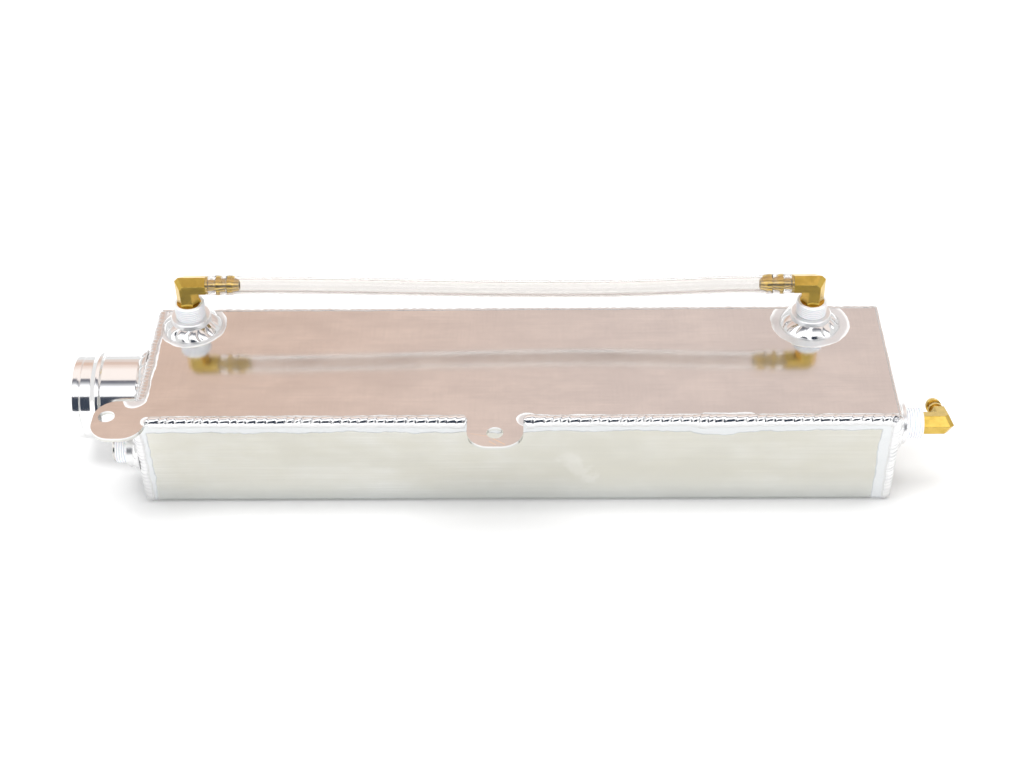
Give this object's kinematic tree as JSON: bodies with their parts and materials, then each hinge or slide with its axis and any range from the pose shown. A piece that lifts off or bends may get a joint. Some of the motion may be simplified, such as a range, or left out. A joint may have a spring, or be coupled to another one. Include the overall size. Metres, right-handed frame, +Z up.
{
  "type": "hydraulic reservoir",
  "caption": "Welded sheet aluminium fluid reservoir with a beaded hose neck, bolt-on tabs, barbed elbows and an external clear sight tube.",
  "frame": {"origin": "centre of the tank's flat base", "axes": "+Z up out of the base, +X along the tank away from the hose neck, -Y towards the side with the mounting tabs"},
  "size_m": [0.5121, 0.1244, 0.0997],
  "materials": {
    "sheet_aluminium": "mill finish sheet, lightly scuffed",
    "machined_aluminium": "turned, satin",
    "weld_aluminium": "bright rippled weld bead",
    "brass": "forged and machined, semi-bright",
    "thread_tape": "soft matte white",
    "plug_steel": "machined, satin",
    "clear_vinyl": "clear and glossy"
  },
  "bodies": {
    "tank": {"tank_shell": "sheet_aluminium", "top_plate": "sheet_aluminium", "left_end_plate": "sheet_aluminium", "right_end_plate": "sheet_aluminium", "hose_neck": "machined_aluminium", "left_sight_bung": "machined_aluminium", "right_sight_bung": "machined_aluminium", "return_bung": "machined_aluminium", "drain_bung": "machined_aluminium", "neck_weld": "weld_aluminium", "left_end_weld": "weld_aluminium", "right_end_weld": "weld_aluminium", "front_seam_weld_left": "weld_aluminium", "front_seam_weld_right": "weld_aluminium", "back_seam_weld": "weld_aluminium", "middle_tab_weld": "weld_aluminium", "corner_tab_weld": "weld_aluminium", "left_sight_bung_weld": "weld_aluminium", "right_sight_bung_weld": "weld_aluminium", "return_bung_weld": "weld_aluminium", "drain_bung_weld": "weld_aluminium", "left_sight_elbow": "brass", "right_sight_elbow": "brass", "return_elbow": "brass", "left_sight_tape": "thread_tape", "right_sight_tape": "thread_tape", "return_tape": "thread_tape", "sight_tube": "clear_vinyl"},
    "plug_wrap": {"drain_tape": "thread_tape"},
    "plug": {"drain_plug": "plug_steel"}
  },
  "joints": [
    {"name": "plug_travel", "type": "slide", "parent": "tank", "child": "plug_wrap", "axis": [-1, 0, 0], "range_m": [0, 0.0071]},
    {"name": "plug_turn", "type": "hinge", "parent": "plug_wrap", "child": "plug", "pos_m": [-0.2254, -0.0356, 0.0296], "axis": [-1, 0, 0], "range_deg": [0, 1800]}
  ],
  "couplings": [
    {"joint": "plug_travel", "follows": "plug_turn", "m_per_rad": 0.00022457}
  ]
}
